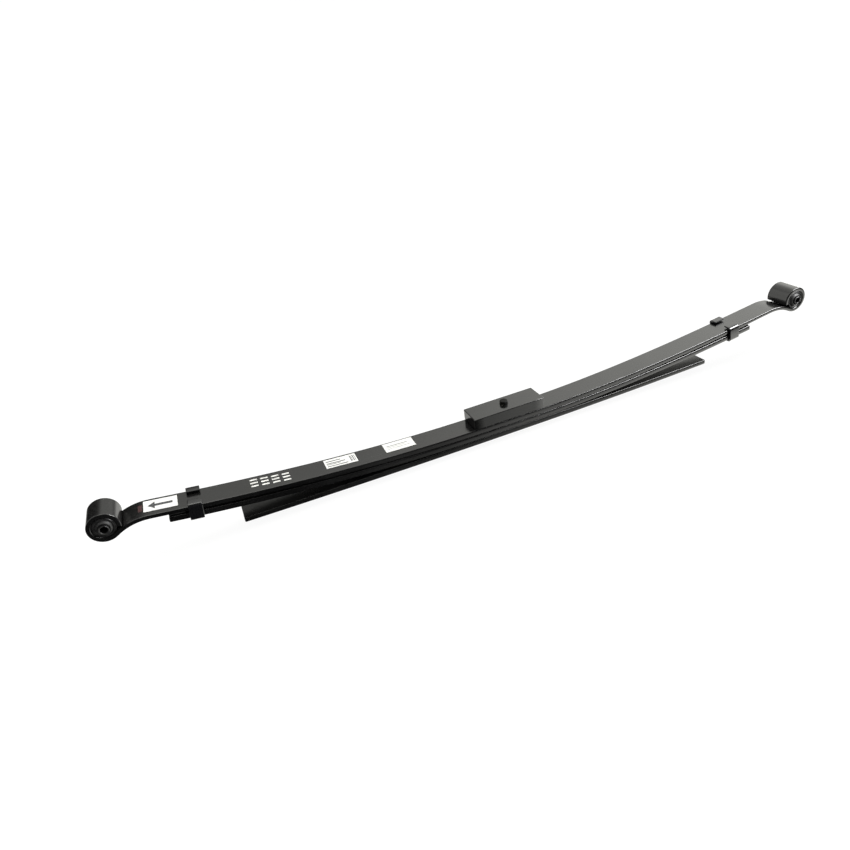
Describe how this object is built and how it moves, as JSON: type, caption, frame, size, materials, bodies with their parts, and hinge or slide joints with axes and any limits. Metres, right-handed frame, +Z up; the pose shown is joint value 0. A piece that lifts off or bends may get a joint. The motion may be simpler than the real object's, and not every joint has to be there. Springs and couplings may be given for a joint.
{
  "type": "leaf spring",
  "caption": "Vehicle leaf spring pack: eyed main leaf with rubber bushes, backing leaf, helper leaf, spacer block on a centre bolt, riveted rebound clips.",
  "frame": {"origin": "middle of the bottom of the whole spring's box; the centre bolt's axis is 18.3 mm towards the rear eye from it, and the main leaf's clamped top face is 49.2 mm above it", "axes": "+X along the spring towards the rear eye, +Y across the leaves along the eye axes, +Z up, out of the spacer block's top face along the centre bolt"},
  "size_m": [1.7516, 0.073, 0.1462],
  "materials": {
    "leaf_paint": "semi-gloss black paint over rolled spring steel",
    "block_paint": "semi-gloss black paint",
    "clip_paint": "semi-gloss black paint on bent strap",
    "bolt_steel": "painted steel fastener",
    "rubber": "moulded black rubber",
    "sleeve_steel": "dark phosphated steel tube",
    "liner_plastic": "black anti-friction plastic",
    "label_paper": "white self-adhesive paper"
  },
  "bodies": {
    "centre_pack": {"main_leaf": "leaf_paint", "second_leaf": "leaf_paint", "helper_leaf": "leaf_paint", "spacer_block": "block_paint", "centre_bolt": "bolt_steel", "centre_bolt_nut": "bolt_steel"},
    "front_arm": {"front_clip": "clip_paint", "front_clip_rivet": "clip_paint", "front_tip_liner": "liner_plastic", "front_bush_shell": "sleeve_steel", "front_bush_rubber": "rubber", "front_label": "label_paper", "stock_label": "label_paper", "inspection_label": "label_paper"},
    "rear_arm": {"rear_clip": "clip_paint", "rear_clip_rivet": "clip_paint", "rear_tip_liner": "liner_plastic", "rear_bush_shell": "sleeve_steel", "rear_bush_rubber": "rubber"},
    "front_sleeve": {"front_bush_sleeve": "sleeve_steel"},
    "rear_sleeve": {"rear_bush_sleeve": "sleeve_steel"}
  },
  "joints": [
    {"name": "front_arm_flex", "type": "hinge", "parent": "centre_pack", "child": "front_arm", "pos_m": [-0.1847, 0, 0.04016], "axis": [0, -1, 0], "range_deg": [-1, 3.6], "stiffness_Nm_per_rad": 6500, "deforming": ["main_leaf", "second_leaf"]},
    {"name": "rear_arm_flex", "type": "hinge", "parent": "centre_pack", "child": "rear_arm", "pos_m": [0.2153, 0, 0.04016], "axis": [0, 1, 0], "range_deg": [-1, 4], "stiffness_Nm_per_rad": 6500, "deforming": ["main_leaf", "second_leaf"]},
    {"name": "front_sleeve_twist", "type": "hinge", "parent": "front_arm", "child": "front_sleeve", "pos_m": [-0.8445, 0, 0.11036], "axis": [0, 1, 0], "range_deg": [-15, 15], "stiffness_Nm_per_rad": 60},
    {"name": "rear_sleeve_twist", "type": "hinge", "parent": "rear_arm", "child": "rear_sleeve", "pos_m": [0.8445, 0, 0.11476], "axis": [0, 1, 0], "range_deg": [-15, 15], "stiffness_Nm_per_rad": 60}
  ]
}
